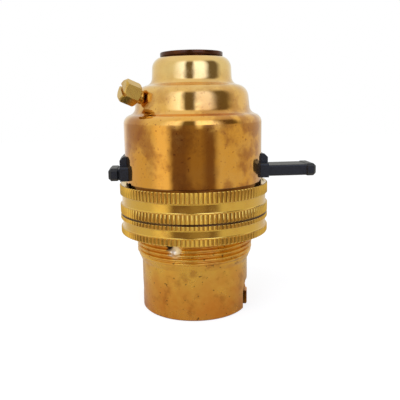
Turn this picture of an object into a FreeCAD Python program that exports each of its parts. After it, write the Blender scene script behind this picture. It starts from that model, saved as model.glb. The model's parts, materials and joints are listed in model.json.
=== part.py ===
import FreeCAD, Part
import math
import os

# Bayonet lamp holder of brass with a push bar switch across its dome.
# Lengths are in millimetres. The origin is the centre of the lamp end's rim.
# +Z points to the cord entry, +X to the long end of the push bar.

# Clearances
seat_gap = 0.02
joint_gap = 0.05
slide_gap = 0.07
bar_gap = 0.1
spigot_gap = 0.15
knob_gap = 0.35

# Bayonet skirt
barrel_r = 12.8
rim_edge = 0.25
socket_r = 11.4
socket_depth = 8.5
throat_r = 11.1
shelf_z = 13.2
thread_major_r = 13.85
thread_depth = 0.6
runout_z = 11.7
runout_slope = 0.42
skirt_h = 24.42
skirt_flange_t = 0.78
key_w = 2.0
key_depth = 1.5

# Bayonet slots
slot_count = 2
entry_w = 3.4
entry_lead_deg = 25.0
entry_round_r = 3.0
hook_z = 3.35
hook_h = 3.25
latch_r = 1.3
latch_drop = 0.6

# Punched dimple in the skirt's thread
dimple_polar_deg = -114.0
dimple_z = 16.7
dimple_r = 2.2
dimple_depth = 1.0

# Knurled rings
ring_wall = 1.35
knurl_depth = 0.3
knurl_pitch = 0.985
ring_edge = 0.2
cove_depth = 0.45
union_h = 6.8
union_lip_t = 0.9
union_lip_gap = 0.8
union_cove_z = 2.1
union_cove_h = 2.38
union_mouth_flare = 1.0
union_mouth_drop = 0.8
shade_h = 4.7
shade_cove_z = 1.45
shade_cove_h = 2.05

# Dome cover: three tiers, each a wall with a rounded shoulder
dome_wall = 0.7
body_r = 16.1
body_shoulder_h = 17.93
body_shoulder_r = 2.1
body_taper_deg = 0.0
step_r = 13.1
step_shoulder_h = 23.63
step_shoulder_r = 2.9
step_taper_deg = 6.0
neck_r = 9.12
neck_shoulder_h = 30.23
neck_shoulder_r = 2.65
neck_taper_deg = 3.0
cove_r = 1.8
entry_hole_r = 6.95
dome_slot_w = 1.5
dome_slot_h = 4.83
dome_slot_polar_deg = 22.0

# Cord entry bush
entry_bore_r = 5.85
bush_length = 9.5
bush_lip_r = 7.18
bush_lip_t = 0.95
bush_body_h = 5.5

# Earth terminal on the dome's middle shoulder
earth_polar_deg = -157.0
earth_rise_deg = 22.0
earth_drop = 0.85
earth_collar_r = 1.55
earth_collar_h = 0.3
earth_foot_r = 2.1
earth_foot_t = 0.6
earth_foot_drop = 1.45
earth_screw_r = 0.95
earth_neck = 0.5
earth_head_af = 4.65
earth_head_h = 3.7
earth_head_turn_deg = 60.0
earth_head_foot_r = 2.4
earth_slot_w = 0.7
earth_slot_depth = 0.7
earth_tail = 2.4

# Contact block
spigot_r = 12.3
block_flange_r = 16.0
block_flange_t = 0.98
drum_r = 15.2
drum_h = 3.8
recess_x = 6.2
recess_y = 8.8
recess_depth = 3.0
rib_l = 14.0
rib_w = 1.4
rib_h = 1.0
lug_w = 1.3
lug_h = 3.1

# Plungers and their sleeves
plunger_y = 4.75
plunger_r = 1.85
plunger_tip_z = 8.8
plunger_tip_edge = 0.4
plunger_collar_r = 2.35
plunger_collar_t = 1.45
plunger_nose_r = 1.4
plunger_nose_h = 3.0
sleeve_r = 2.9
sleeve_bore_r = 2.45
sleeve_lip_t = 0.6
sleeve_cap_t = 0.7
sleeve_floor = 0.65
spring_r = 1.95
spring_wire_r = 0.25
spring_turns = 6

# Switch housing and its screws
base_t = 1.28
base_r = 15.1
cheek_t = 1.6
cheek_half_l = 9.0
cheek_h = 4.7
cheek_top_r = 3.2
pillar_x = 8.4
pillar_y = 6.0
pillar_r = 2.2
pillar_h = 5.2
pillar_screw_r = 1.2
pillar_head_r = 1.75
pillar_head_t = 1.5
pillar_head_sink = 0.4
screw_slot_w = 0.5
screw_slot_depth = 0.6

# Wire terminals
terminal_x = 4.2
terminal_y = 10.0
terminal_w = 4.4
terminal_t = 4.6
terminal_h = 7.0
wire_hole_r = 1.35
clamp_screw_r = 1.2
clamp_screw_z = 4.2
clamp_head_r = 1.7
clamp_head_t = 1.1
tower_wall = 0.95
tower_h = 2.2

# Brass strips
strip_t = 0.35
strip_w = 1.4
strip_x = 5.2
tip_near = 0.6
tip_w = 1.8

# Push bar and its guides
bar_w = 7.0
bar_h = 2.6
bar_travel = 9.1
head_l = 2.65
head_over = 0.3
bar_edge = 0.35
head_edge = 0.6
guide_out = 17.2
guide_in = 13.3
guide_leg_t = 0.82
guide_web_t = 0.6
flange_half_w = 5.2
tab_half_w = 4.0
flange_rise = 2.7
flange_corner_r = 0.5
flange_bevel = 0.8
lug_half_w = 5.3
lug_t = 0.9

# Rocker
pivot_h = 7.2
arm_l = 8.54
arm_half_t = 0.8
arm_half_w = 1.5
knob_r = 1.0
knob_half_l = 1.6
hub_r = 2.3
hub_half_l = 2.4
pin_r = 0.9
seat_half_l = 2.2
seat_h = 2.55
stake_r = 0.7
stake_h = 0.9
bridge_half_l = 4.6
bridge_half_w = 2.7
bridge_t = 0.4
make_gap = 0.12
disc_r = 4.4
disc_in = 2.9
disc_t = 0.6

# Ball detent in one cheek
ball_r = 0.8
ball_orbit_r = 3.3
ball_sink = 0.25
ball_nest = 0.15
detent_boss_r = 1.6
detent_spring_l = 2.75
detent_wire_r = 0.15
detent_turns = 4
detent_end_t = 0.6

# Heights that follow from the stack
thread_root_r = thread_major_r - thread_depth
runout_top_z = runout_z + (thread_root_r - barrel_r) / runout_slope
skirt_top_z = skirt_h + skirt_flange_t
block_flange_z = skirt_top_z + seat_gap
dome_edge_z = block_flange_z + block_flange_t + seat_gap
spigot_z = shelf_z + joint_gap
drum_top_z = block_flange_z + block_flange_t + drum_h
recess_z = drum_top_z - recess_depth
union_top_z = skirt_h - seat_gap - union_lip_t + union_h
union_z = union_top_z - union_h
shade_z = union_z - joint_gap - shade_h
base_z = drum_top_z + seat_gap
floor_z = base_z + base_t
bar_z = floor_z + bar_gap
bar_top_z = bar_z + bar_h
pivot_z = bar_top_z + pivot_h
bar_side = bar_w / 2 + slide_gap
rocker_tilt_deg = math.degrees(math.asin(bar_travel / 2 / arm_l))
cheek_in = bar_w / 2 + spigot_gap
cheek_out = cheek_in + cheek_t
cheek_top_z = floor_z + cheek_h
window_half_w = bar_side + guide_leg_t + joint_gap
guide_z = floor_z + joint_gap
guide_top_z = bar_top_z + bar_gap + guide_web_t
skirt_cup_r = spigot_r + spigot_gap
union_bore_r = body_r + bar_gap
union_mouth_r = union_bore_r + union_mouth_flare
knurl_r = union_bore_r + ring_wall
union_lip_r = thread_root_r + union_lip_gap
sleeve_z = spigot_z + sleeve_floor
sleeve_top_z = recess_z
spring_z = sleeve_z + sleeve_lip_t + joint_gap + plunger_collar_t + joint_gap
spring_top_z = sleeve_top_z - sleeve_cap_t
lower_strip_z = recess_z + seat_gap
upper_strip_z = cheek_top_z + knob_gap

ORIGIN = FreeCAD.Vector(0, 0, 0)
ALONG_X = FreeCAD.Vector(1, 0, 0)
ALONG_Y = FreeCAD.Vector(0, 1, 0)
UP = FreeCAD.Vector(0, 0, 1)


def point(x, y, z):
    return FreeCAD.Vector(x, y, z)


def rod(radius, z0, z1, x=0.0, y=0.0):
    return Part.makeCylinder(radius, z1 - z0, point(x, y, z0), UP)


def rod_y(radius, x, z, y0, y1):
    return Part.makeCylinder(radius, y1 - y0, point(x, y0, z), ALONG_Y)


def block(x, y, z):
    """Box between the pairs x, y and z."""
    return Part.makeBox(x[1] - x[0], y[1] - y[0], z[1] - z[0], point(x[0], y[0], z[0]))


def turned(edges):
    """Solid of revolution about Z of a closed outline in the XZ plane."""
    return Part.Face(Part.Wire(edges)).revolve(ORIGIN, UP, 360)


def corners(points):
    """Straight edges through (radius, z) points."""
    places = [point(r, 0, z) for r, z in points]
    return [Part.makeLine(a, b) for a, b in zip(places, places[1:])]


def turned_corners(points):
    return turned(corners(points + points[:1]))


def arc(start, middle, end):
    return Part.Arc(point(start[0], 0, start[1]), point(middle[0], 0, middle[1]),
                    point(end[0], 0, end[1])).toShape()


def turned_about_z(shape, degrees):
    return shape.rotated(ORIGIN, UP, degrees)


def half_turned(shape):
    return turned_about_z(shape, 180)


def coil(mean_r, wire_r, length, turns):
    """Helical spring along Z from 0 to the length."""
    rise = length - 2 * wire_r
    path = Part.makeHelix(rise / turns, rise, mean_r)
    path.translate(point(0, 0, wire_r))
    slope = point(0, 2 * math.pi * mean_r, rise / turns)
    section = Part.Wire([Part.makeCircle(wire_r, point(mean_r, 0, wire_r), slope)])
    return Part.Wire(path.Edges).makePipeShell([section], True, True)


def slotted_head(radius, thickness, slot_w, slot_depth):
    """Round screw head on the XY plane, its slot in the face at the bottom."""
    head = rod(radius, -thickness, 0)
    slot = block((-2 * radius, 2 * radius), (-slot_w / 2, slot_w / 2), (-thickness, slot_depth - thickness))
    return head.cut(slot)


def bayonet_slot():
    """Cutter for one J slot whose seat is on +X and whose entry lies clockwise of it."""
    r0 = throat_r - key_depth
    r1 = barrel_r + key_depth
    top = hook_z + hook_h
    half = entry_w / 2
    bend = entry_round_r * (1 - math.sqrt(0.5))
    left = Part.makeLine(point(r0, -half, -1), point(r0, -half, top - entry_round_r))
    shoulder = Part.Arc(point(r0, -half, top - entry_round_r), point(r0, bend - half, top - bend),
                        point(r0, entry_round_r - half, top)).toShape()
    rest = Part.makePolygon([point(r0, entry_round_r - half, top), point(r0, half, top),
                             point(r0, half, -1), point(r0, -half, -1)])
    entry = Part.Face(Part.Wire([left, shoulder] + rest.Edges)).extrude(point(r1 - r0, 0, 0))
    entry = turned_about_z(entry, -entry_lead_deg)
    side = Part.Face(Part.Wire(corners([(r0, hook_z), (r1, hook_z), (r1, top), (r0, top), (r0, hook_z)])))
    hook = turned_about_z(side.revolve(ORIGIN, UP, entry_lead_deg), -entry_lead_deg)
    end = Part.makeCylinder(hook_h / 2, r1 - r0, point(r0, 0, hook_z + hook_h / 2), ALONG_X)
    latch_z = hook_z - latch_drop + latch_r
    latch = Part.makeCylinder(latch_r, r1 - r0, point(r0, 0, latch_z), ALONG_X)
    return entry.fuse([hook, end, latch])


def bayonet_skirt():
    shell = turned_corners([
        (socket_r, 0), (barrel_r - rim_edge, 0), (barrel_r, rim_edge), (barrel_r, runout_z),
        (thread_root_r, runout_top_z), (thread_root_r, skirt_h), (block_flange_r, skirt_h),
        (block_flange_r, skirt_top_z), (skirt_cup_r, skirt_top_z), (skirt_cup_r, shelf_z),
        (throat_r, shelf_z), (throat_r, socket_depth), (socket_r, socket_depth)])
    cutters = [turned_about_z(bayonet_slot(), 360 / slot_count * i) for i in range(slot_count)]
    centre_r = thread_major_r - dimple_depth + dimple_r
    dimple = Part.makeSphere(dimple_r, point(centre_r, 0, dimple_z))
    cutters.append(turned_about_z(dimple, dimple_polar_deg))
    notch_w = key_w / 2 + bar_gap
    notch = block((-notch_w, notch_w), (block_flange_r - key_depth, block_flange_r + 1),
                  (skirt_h - 1, skirt_top_z + 1))
    return shell.cut(cutters + [notch, half_turned(notch)])


def knurled(outline, z0, z1):
    """Turned outline whose outermost bands carry straight V teeth."""
    teeth = round(2 * math.pi * knurl_r / knurl_pitch)
    places = []
    for i in range(2 * teeth):
        radius = knurl_r - knurl_depth * (i % 2)
        angle = math.pi * i / teeth
        places.append(point(radius * math.cos(angle), radius * math.sin(angle), z0 - 1))
    star = Part.Face(Part.makePolygon(places + places[:1])).extrude(point(0, 0, z1 - z0 + 2))
    return star.common(turned(outline))


def ring_side(z0, z1, cove_z, cove_h):
    """Outer side from the bottom edge to the top edge, with a cove between two bands."""
    band_r = knurl_r + joint_gap
    cove_start = (band_r, z0 + cove_z)
    cove_end = (band_r, z0 + cove_z + cove_h)
    cove_middle = (knurl_r - cove_depth, z0 + cove_z + cove_h / 2)
    below = corners([(band_r - ring_edge, z0), (band_r, z0 + ring_edge), cove_start])
    above = corners([cove_end, (band_r, z1 - ring_edge), (band_r - ring_edge, z1)])
    return below + [arc(cove_start, cove_middle, cove_end)] + above


def union_ring():
    lip_top = union_z + union_lip_t
    side = ring_side(union_z, union_top_z, union_cove_z, union_cove_h)
    inside = corners([
        (knurl_r + joint_gap - ring_edge, union_top_z), (union_mouth_r, union_top_z),
        (union_bore_r, union_top_z - union_mouth_drop), (union_bore_r, lip_top),
        (union_lip_r, lip_top), (union_lip_r, union_z), (knurl_r + joint_gap - ring_edge, union_z)])
    return knurled(side + inside, union_z, union_top_z)


def shade_ring():
    top = shade_z + shade_h
    bore = thread_root_r + slide_gap
    edge_r = knurl_r + joint_gap - ring_edge
    side = ring_side(shade_z, top, shade_cove_z, shade_cove_h)
    inside = corners([(edge_r, top), (bore, top), (bore, shade_z), (edge_r, shade_z)])
    return knurled(side + inside, shade_z, top)


def dome_tiers():
    """Wall radius, shoulder centre height, shoulder radius and taper of each tier, bottom first."""
    return [
        (body_r, dome_edge_z + body_shoulder_h, body_shoulder_r, body_taper_deg),
        (step_r, dome_edge_z + step_shoulder_h, step_shoulder_r, step_taper_deg),
        (neck_r, dome_edge_z + neck_shoulder_h, neck_shoulder_r, neck_taper_deg)]


def shoulder_centre(tier):
    wall_r, z, shoulder_r, taper = tier
    return (wall_r - shoulder_r / math.cos(math.radians(taper)), z)


def cove_centre(lower, upper):
    """Centre of the cove that touches the lower tier's shoulder and the upper tier's wall."""
    cx, cz = shoulder_centre(lower)
    wall_r, z, _, taper = upper
    nx, nz = math.cos(math.radians(taper)), math.sin(math.radians(taper))
    wall = nx * wall_r + nz * z + cove_r
    across = wall - (nx * cx + nz * cz)
    along = math.sqrt((lower[2] + cove_r) ** 2 - across ** 2)
    return (cx + nx * across - nz * along, cz + nz * across + nx * along)


def arc_about(centre, radius, start_deg, end_deg):
    """Arc in the XZ plane between two angles from the radial direction."""
    places = []
    for degrees in (start_deg, (start_deg + end_deg) / 2, end_deg):
        angle = math.radians(degrees)
        places.append((centre[0] + radius * math.cos(angle), centre[1] + radius * math.sin(angle)))
    return arc(*places), places[0], places[2]


def dome_outline(inset, crown_r):
    """Edges of the dome's profile, moved inwards by the inset, from its foot to the crown."""
    tiers = dome_tiers()
    edges = []
    last = (body_r - inset, dome_edge_z)
    for i, tier in enumerate(tiers):
        centre = shoulder_centre(tier)
        radius = tier[2] - inset
        if i + 1 < len(tiers):
            cove = cove_centre(tier, tiers[i + 1])
            lean = math.degrees(math.atan2(cove[1] - centre[1], cove[0] - centre[0]))
        else:
            lean = math.degrees(math.acos((crown_r - centre[0]) / radius))
        shoulder, start, end = arc_about(centre, radius, tier[3], lean)
        edges += [corners([last, start])[0], shoulder]
        last = end
        if i + 1 < len(tiers):
            curve, start, last = arc_about(cove, cove_r + inset, lean + 180, tiers[i + 1][3] + 180)
            edges.append(curve)
    return edges, last


def dome_crown_z(inset):
    return dome_outline(inset, entry_hole_r)[1][1]


def dome_shell():
    outer, outer_top = dome_outline(0.0, entry_hole_r)
    inner, inner_top = dome_outline(dome_wall, entry_hole_r)
    rim = corners([(body_r, dome_edge_z), (body_r - dome_wall, dome_edge_z)])
    return turned(outer + corners([outer_top, inner_top]) + inner[::-1] + rim[::-1])


def bar_window():
    """Cutter for the two windows that the push bar passes."""
    reach = body_r + 1
    top = guide_top_z + joint_gap
    both = block((-reach, reach), (-window_half_w, window_half_w), (floor_z, top))
    return both.cut(rod(body_r - 2 * dome_wall - 1, floor_z - 1, top + 1))


def dome_slots():
    """Key slots in the dome's foot, one beside each side of each guide."""
    top = dome_edge_z + dome_slot_h
    slot = block((body_r - 2, body_r + 1), (-dome_slot_w / 2, dome_slot_w / 2), (dome_edge_z - 1, top))
    angles = (dome_slot_polar_deg, -dome_slot_polar_deg)
    return [turned_about_z(slot, side + angle) for side in (0, 180) for angle in angles]


def earth_placed(shape):
    """Moves a shape from the Z axis to the earth terminal, its z = 0 on the dome's outer face."""
    centre = shoulder_centre(dome_tiers()[1])
    placed = shape.rotated(ORIGIN, ALONG_Y, 90 - earth_rise_deg)
    rise = math.radians(earth_rise_deg)
    chord = math.sqrt(step_shoulder_r ** 2 - (earth_drop * math.cos(rise)) ** 2)
    reach = earth_drop * math.sin(rise) + chord
    placed.translate(point(centre[0] + reach * math.cos(rise), 0,
                           centre[1] - earth_drop + reach * math.sin(rise)))
    return turned_about_z(placed, earth_polar_deg)


def dome_cover():
    hole = earth_placed(rod(earth_collar_r + joint_gap, -3 * dome_wall, 3 * dome_wall))
    return dome_shell().cut([bar_window(), hole] + dome_slots())


def entry_bush():
    lip_z = dome_crown_z(0.0) + seat_gap
    top = lip_z + bush_lip_t
    stem_r = entry_hole_r - joint_gap
    body = neck_r - dome_wall - joint_gap
    foot = top - bush_length
    return turned_corners([
        (entry_bore_r, foot), (body, foot), (body, foot + bush_body_h), (stem_r, foot + bush_body_h),
        (stem_r, lip_z), (bush_lip_r, lip_z), (bush_lip_r, top), (entry_bore_r, top)])


def earth_boss():
    foot_z = -earth_foot_drop - earth_foot_t
    boss = rod(earth_collar_r, foot_z, earth_collar_h)
    foot = rod(earth_foot_r, foot_z, foot_z + earth_foot_t)
    bore = rod(earth_screw_r + joint_gap, foot_z - 1, earth_collar_h + 1)
    return earth_placed(boss.fuse(foot).cut(bore))


def hexagon_prism(across_flats, height):
    corner_r = across_flats / math.sqrt(3)
    angles = [math.radians(60 * i) for i in range(7)]
    places = [point(corner_r * math.cos(angle), corner_r * math.sin(angle), 0) for angle in angles]
    return Part.Face(Part.makePolygon(places)).extrude(point(0, 0, height))


def earth_screw():
    """Slotted hexagon screw whose head narrows to its neck and has its end's corners cut."""
    head_z = earth_collar_h + earth_neck
    flat_r = earth_head_af / 2
    corner_r = earth_head_af / math.sqrt(3)
    limits = turned_corners([
        (0, 0), (earth_head_foot_r, 0), (corner_r, corner_r - earth_head_foot_r),
        (corner_r, earth_head_h - corner_r + flat_r - ring_edge), (flat_r - ring_edge, earth_head_h),
        (0, earth_head_h)])
    slot = block((-corner_r, corner_r), (-earth_slot_w / 2, earth_slot_w / 2),
                 (earth_head_h - earth_slot_depth, earth_head_h + 1))
    prism = hexagon_prism(earth_head_af, earth_head_h)
    head = turned_about_z(prism.common(limits).cut(slot), earth_head_turn_deg)
    head.translate(point(0, 0, head_z))
    return earth_placed(head.fuse(rod(earth_screw_r, -earth_tail, head_z)))


def bar_guide():
    """Inverted U saddle on the +X side, flanged outside the dome and lugged inside it."""
    flange_top = bar_top_z + bar_gap + flange_rise
    tab = block((guide_in, guide_out), (-tab_half_w, tab_half_w), (guide_z, flange_top))
    front = [e for e in tab.Edges
             if e.BoundBox.ZMin > flange_top - 0.01 and e.BoundBox.XMin > guide_out - 0.01]
    tab = tab.makeChamfer(flange_bevel, front)
    wide = block((guide_in, guide_out), (-flange_half_w, flange_half_w), (guide_z, guide_top_z))
    shoulders = [e for e in wide.Edges
                 if e.BoundBox.ZMin > guide_top_z - 0.01 and e.BoundBox.XLength > 1]
    flange = tab.fuse(wide.makeFillet(flange_corner_r, shoulders))
    flange = flange.cut(rod(body_r + seat_gap, guide_z - 1, flange_top + 1))
    half = window_half_w - joint_gap
    body = block((guide_in, body_r + slide_gap), (-half, half), (guide_z, guide_top_z))
    lugs = block((guide_in, guide_in + lug_t), (-lug_half_w, lug_half_w), (guide_z + bar_gap, guide_top_z))
    way = block((guide_in - 1, guide_out + 1), (-bar_side, bar_side), (guide_z - 1, bar_top_z + bar_gap))
    return flange.fuse([body, lugs]).cut(way)


def bevelled_block(x, y, z, bevel):
    shape = block(x, y, z)
    return shape.makeChamfer(bevel, shape.Edges)


def push_bar():
    reach = guide_out + joint_gap
    head_y = (-bar_w / 2 - head_over, bar_w / 2 + head_over)
    head_z = (bar_z - head_over / 2, bar_top_z + head_over / 2)
    left = bevelled_block((-reach - head_l, -reach), head_y, head_z, head_edge)
    right = bevelled_block((reach + bar_travel, reach + bar_travel + head_l), head_y, head_z, head_edge)
    shank = block((-reach - head_l / 2, reach + bar_travel + head_l / 2),
                  (-bar_w / 2, bar_w / 2), (bar_z, bar_top_z))
    long_edges = [e for e in shank.Edges if e.BoundBox.XLength > head_l]
    shank = shank.makeFillet(bar_edge, long_edges)
    pocket_r = knob_r + knob_gap
    middle = bar_travel / 2
    pocket = block((middle - pocket_r, middle + pocket_r),
                   (-knob_half_l - knob_gap, knob_half_l + knob_gap), (bar_z - 1, bar_top_z + 1))
    return shank.fuse([left, right]).cut(pocket)


def contact_block():
    flange_top = block_flange_z + block_flange_t
    body = turned_corners([
        (0, spigot_z), (spigot_r, spigot_z), (spigot_r, block_flange_z), (block_flange_r, block_flange_z),
        (block_flange_r, flange_top), (drum_r, flange_top), (drum_r, drum_top_z), (0, drum_top_z)])
    rib = block((-rib_l / 2, rib_l / 2), (-rib_w / 2, rib_w / 2), (spigot_z - rib_h, spigot_z))
    key = block((-key_w / 2, key_w / 2), (block_flange_r - key_depth + bar_gap, block_flange_r - bar_gap),
                (skirt_h + seat_gap, block_flange_z))
    lug = block((drum_r - 0.5, block_flange_r), (-lug_w / 2, lug_w / 2), (flange_top, flange_top + lug_h))
    turns = [side + angle for side in (0, 180) for angle in (dome_slot_polar_deg, -dome_slot_polar_deg)]
    lugs = [turned_about_z(lug, angle) for angle in turns]
    body = body.fuse([rib, key, half_turned(key)] + lugs)
    return body.cut(block_cutters())


def block_cutters():
    recess = block((-recess_x, recess_x), (-recess_y, recess_y), (recess_z, drum_top_z + 1))
    cutters = [recess]
    for y in (-plunger_y, plunger_y):
        cutters.append(rod(sleeve_r + joint_gap, sleeve_z, recess_z + 1, 0, y))
        cutters.append(rod(plunger_r + knob_gap, spigot_z - 1, sleeve_z + 1, 0, y))
    hole = rod(pillar_screw_r + bar_gap, spigot_z - 1, drum_top_z + 1, pillar_x, pillar_y)
    head_top = spigot_z + pillar_head_sink + pillar_head_t + joint_gap
    sink = rod(pillar_head_r + bar_gap, spigot_z - 1, head_top, pillar_x, pillar_y)
    return cutters + [hole, sink, half_turned(hole), half_turned(sink)]


def plunger_sleeve():
    return turned_corners([
        (plunger_r + bar_gap, sleeve_z), (sleeve_r, sleeve_z), (sleeve_r, sleeve_top_z), (0, sleeve_top_z),
        (0, spring_top_z), (sleeve_bore_r, spring_top_z), (sleeve_bore_r, sleeve_z + sleeve_lip_t),
        (plunger_r + bar_gap, sleeve_z + sleeve_lip_t)])


def plunger():
    collar_z = sleeve_z + sleeve_lip_t + joint_gap
    collar_top = collar_z + plunger_collar_t
    return turned_corners([
        (0, plunger_tip_z), (plunger_r - plunger_tip_edge, plunger_tip_z),
        (plunger_r, plunger_tip_z + plunger_tip_edge), (plunger_r, collar_z), (plunger_collar_r, collar_z),
        (plunger_collar_r, collar_top), (plunger_nose_r, collar_top),
        (plunger_nose_r, collar_top + plunger_nose_h), (0, collar_top + plunger_nose_h)])


def plunger_spring():
    spring = coil(spring_r, spring_wire_r, spring_top_z - spring_z - joint_gap, spring_turns)
    spring.translate(point(0, 0, spring_z))
    return spring


def cheek(y0, y1):
    """Wall beside the bar that rises to the rocker's pivot."""
    low = block((-cheek_half_l, cheek_half_l), (y0, y1), (floor_z - seat_gap, cheek_top_z))
    high = block((-cheek_top_r, cheek_top_r), (y0, y1), (cheek_top_z - 1, pivot_z))
    return low.fuse([high, rod_y(cheek_top_r, 0, pivot_z, y0, y1)])


def terminal_tower():
    """Walled seat of the terminal in the +X, -Y quarter."""
    half_w = terminal_w / 2 + bar_gap + tower_wall
    half_t = terminal_t / 2 + bar_gap + tower_wall
    return block((terminal_x - half_w, terminal_x + half_w), (-terminal_y - half_t, -terminal_y + half_t),
                 (floor_z - seat_gap, floor_z + tower_h))


def terminal_pocket():
    half_w = terminal_w / 2 + bar_gap
    half_t = terminal_t / 2 + bar_gap
    return block((terminal_x - half_w, terminal_x + half_w), (-terminal_y - half_t, -terminal_y + half_t),
                 (floor_z, floor_z + tower_h + 1))


def ball_centre_y():
    return disc_in + disc_t - ball_sink + ball_r


def detent_bore_end():
    return ball_centre_y() + ball_r + joint_gap + detent_spring_l + joint_gap


def switch_housing():
    boss_z = pivot_z - ball_orbit_r
    pillar = rod(pillar_r, floor_z - seat_gap, floor_z + pillar_h, pillar_x, pillar_y)
    boss = rod_y(detent_boss_r, 0, boss_z, cheek_in, detent_bore_end() + detent_end_t)
    tower = terminal_tower()
    body = rod(base_r, base_z, floor_z).fuse([
        cheek(cheek_in, cheek_out), cheek(-cheek_out, -cheek_in), pillar, half_turned(pillar),
        tower, half_turned(tower), boss])
    screw = rod(pillar_screw_r + joint_gap, base_z - 1, floor_z + pillar_h + 1, pillar_x, pillar_y)
    pin = rod_y(pin_r + joint_gap, 0, pivot_z, -cheek_out - 1, cheek_out + 1)
    ball_way = rod_y(ball_r + joint_gap, 0, boss_z, cheek_in - 1, detent_bore_end())
    side = terminal_y - terminal_t / 2
    neutral_way = block((-strip_x - bar_gap, -strip_x + strip_w + bar_gap),
                        (side - strip_t - 2 * bar_gap, side), (base_z - 1, floor_z + tower_h + 1))
    live_way = block((strip_x - strip_w / 2 - bar_gap, strip_x + strip_w / 2 + bar_gap),
                     (cheek_out + bar_gap, cheek_out + strip_t + 3 * bar_gap), (base_z - 1, floor_z + 1))
    pocket = terminal_pocket()
    return body.cut([screw, half_turned(screw), pin, ball_way, neutral_way, live_way,
                     pocket, half_turned(pocket)])


def housing_screws():
    head_top = spigot_z + pillar_head_sink + pillar_head_t
    head = slotted_head(pillar_head_r, pillar_head_t, screw_slot_w, screw_slot_depth)
    head.translate(point(0, 0, head_top))
    screw = head.fuse(rod(pillar_screw_r, head_top, floor_z + pillar_h - joint_gap))
    screw.translate(point(pillar_x, pillar_y, 0))
    return Part.makeCompound([screw, half_turned(screw)])


def terminal_block():
    """Brass terminal in the +X, -Y quarter, with its wire hole upright."""
    half_w = terminal_w / 2
    half_t = terminal_t / 2
    z0 = floor_z + seat_gap
    body = block((terminal_x - half_w, terminal_x + half_w),
                 (-terminal_y - half_t, -terminal_y + half_t), (z0, z0 + terminal_h))
    hole = rod(wire_hole_r, z0 + 1, z0 + terminal_h + 1, terminal_x, -terminal_y)
    tapped = rod_y(clamp_screw_r + joint_gap, terminal_x, z0 + clamp_screw_z,
                   -terminal_y - half_t - 1, -terminal_y)
    return body.cut([hole, tapped])


def terminal_screw():
    head = slotted_head(clamp_head_r, clamp_head_t, screw_slot_w, screw_slot_depth)
    screw = head.fuse(rod(clamp_screw_r, 0, terminal_t / 2 - wire_hole_r + joint_gap))
    screw.rotate(ORIGIN, ALONG_X, -90)
    screw.translate(point(terminal_x, -terminal_y - terminal_t / 2 - joint_gap,
                          floor_z + seat_gap + clamp_screw_z))
    return screw


def contact_tip(y0):
    """Upright leaf with a pad that the rocker's bridge comes down on."""
    x = (strip_x - strip_w / 2, strip_x + strip_w / 2)
    pad_z = bridge_low_z() - make_gap
    leaf = block((x[1] - strip_t, x[1]), (y0, y0 + tip_w), (upper_strip_z, pad_z))
    pad = block(x, (y0, y0 + tip_w), (pad_z - strip_t, pad_z))
    return [leaf, pad]


def bridge_low_z():
    """Height of the bridge's lower corner when the rocker is thrown over."""
    tilt = math.radians(rocker_tilt_deg)
    return pivot_z - bridge_half_l * math.sin(tilt) + (seat_h + joint_gap) * math.cos(tilt)


def line_contact():
    """Strip from the line terminal over the cheek to the fixed contact."""
    x = (strip_x - strip_w / 2, strip_x + strip_w / 2)
    face = -terminal_y + terminal_t / 2
    tab = block(x, (face, face + strip_t), (floor_z + tower_h + bar_gap, upper_strip_z + strip_t))
    run = block(x, (face, -tip_near), (upper_strip_z, upper_strip_z + strip_t))
    return run.fuse([tab] + contact_tip(-tip_near - tip_w))


def switched_contact():
    """Strip from the fixed contact over the other cheek and down to the switched plunger's sleeve."""
    x = (strip_x - strip_w / 2, strip_x + strip_w / 2)
    y = (cheek_out + 2 * bar_gap, cheek_out + 2 * bar_gap + strip_t)
    run = block(x, (tip_near, y[1]), (upper_strip_z, upper_strip_z + strip_t))
    drop = block(x, y, (lower_strip_z, upper_strip_z + strip_t))
    foot = block((-strip_w, x[1]), (y[1] - 2 * strip_w, y[1]), (lower_strip_z, lower_strip_z + strip_t))
    return run.fuse([drop, foot] + contact_tip(tip_near))


def neutral_strip():
    """Strip from the neutral terminal under the housing to the other plunger's sleeve."""
    x = (-strip_x, -strip_x + strip_w)
    face = terminal_y - terminal_t / 2
    drop = block(x, (face - strip_t, face), (lower_strip_z, floor_z + terminal_h / 2))
    run = block(x, (-plunger_y - strip_w, face), (lower_strip_z, lower_strip_z + strip_t))
    foot = block((x[0], strip_w), (-plunger_y - strip_w, -plunger_y + strip_w),
                 (lower_strip_z, lower_strip_z + strip_t))
    return drop.fuse([run, foot])


def at_rest(shape):
    """Turns a shape drawn with the rocker upright to the tilt that the bar gives it."""
    return shape.rotated(point(0, 0, pivot_z), ALONG_Y, -rocker_tilt_deg)


def rocker():
    knob_z = pivot_z - arm_l
    hub = rod_y(hub_r, 0, pivot_z, -hub_half_l, disc_in)
    arm = block((-arm_half_t, arm_half_t), (-arm_half_w, arm_half_w), (knob_z, pivot_z))
    knob = rod_y(knob_r, 0, knob_z, -knob_half_l, knob_half_l)
    seat = block((-seat_half_l, seat_half_l), (-hub_half_l, hub_half_l), (pivot_z, pivot_z + seat_h))
    stake = rod(stake_r, pivot_z, pivot_z + seat_h + stake_h)
    disc = rod_y(disc_r, 0, pivot_z, disc_in, disc_in + disc_t)
    body = hub.fuse([arm, knob, seat, stake, disc])
    bore = rod_y(pin_r + joint_gap, 0, pivot_z, -hub_half_l - 1, disc_in + disc_t + 1)
    groove = Part.makeTorus(ball_orbit_r, ball_r + joint_gap, point(0, ball_centre_y(), pivot_z), ALONG_Y)
    nest = Part.makeSphere(ball_r + joint_gap, point(0, ball_centre_y() - ball_nest, pivot_z - ball_orbit_r))
    nests = [nest.rotated(point(0, 0, pivot_z), ALONG_Y, side * rocker_tilt_deg) for side in (-1, 1)]
    return at_rest(body.cut([bore, groove] + nests))


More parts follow.
